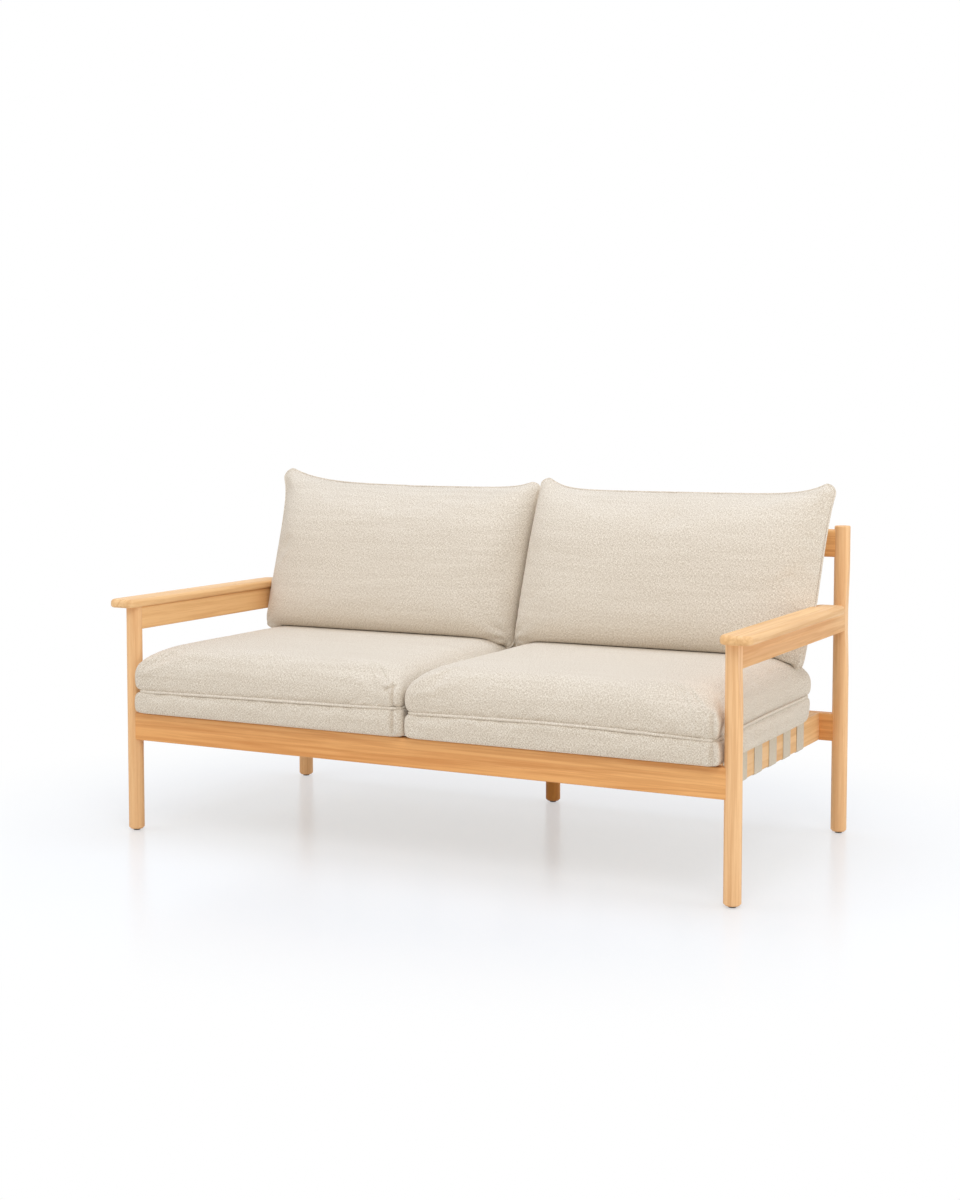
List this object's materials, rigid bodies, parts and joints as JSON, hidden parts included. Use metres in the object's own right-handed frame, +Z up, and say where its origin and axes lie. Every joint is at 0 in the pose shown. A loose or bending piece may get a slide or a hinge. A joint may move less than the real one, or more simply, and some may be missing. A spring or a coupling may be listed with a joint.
{
  "type": "patio loveseat",
  "caption": "Timber patio loveseat with round posts, flat armrests, webbing under the seat and behind the back, and loose seat and back cushions.",
  "frame": {"origin": "on the floor, under the middle of the outer size, at the glides' underside", "axes": "+X to the right as seen from the front, +Y to the back, +Z up"},
  "size_m": [1.594, 0.8054, 0.8457],
  "materials": {
    "wood": "satin oiled light hardwood",
    "fabric": "basket-woven beige outdoor fabric",
    "webbing": "flat woven webbing",
    "glides": "matte",
    "zinc_screws": "zinc plated"
  },
  "bodies": {
    "frame": {"arm_rail_left": "wood", "arm_rail_right": "wood", "arm_screws": "zinc_screws", "armrest_left": "wood", "armrest_right": "wood", "back_strap_1": "webbing", "back_strap_2": "webbing", "back_strap_3": "webbing", "back_strap_4": "webbing", "back_strap_5": "webbing", "back_strap_6": "webbing", "foot_glides": "glides", "leg_rear_centre": "wood", "post_front_left": "wood", "post_front_right": "wood", "post_rear_left": "wood", "post_rear_right": "wood", "rail_centre": "wood", "rail_front": "wood", "rail_rear": "wood", "rail_side_left": "wood", "rail_side_right": "wood", "rail_top": "wood", "seat_strap_1": "webbing", "seat_strap_2": "webbing", "seat_strap_3": "webbing", "seat_strap_4": "webbing", "seat_strap_5": "webbing", "seat_strap_6": "webbing", "strap_screws": "zinc_screws"},
    "back_cushion_left": {"back_cushion_left": "fabric"},
    "back_cushion_right": {"back_cushion_right": "fabric"},
    "seat_cushion_left": {"seat_cushion_left": "fabric"},
    "seat_cushion_right": {"seat_cushion_right": "fabric"}
  },
  "joints": [
    {"name": "seat_cushion_left_pull", "type": "slide", "parent": "frame", "child": "seat_cushion_left", "axis": [0, -1, 0], "range_m": [0, 0.72]},
    {"name": "seat_cushion_right_pull", "type": "slide", "parent": "frame", "child": "seat_cushion_right", "axis": [0, -1, 0], "range_m": [0, 0.72]},
    {"name": "back_cushion_left_lift", "type": "slide", "parent": "frame", "child": "back_cushion_left", "axis": [0, 0, 1], "range_m": [0, 0.45]},
    {"name": "back_cushion_right_lift", "type": "slide", "parent": "frame", "child": "back_cushion_right", "axis": [0, 0, 1], "range_m": [0, 0.45]}
  ]
}
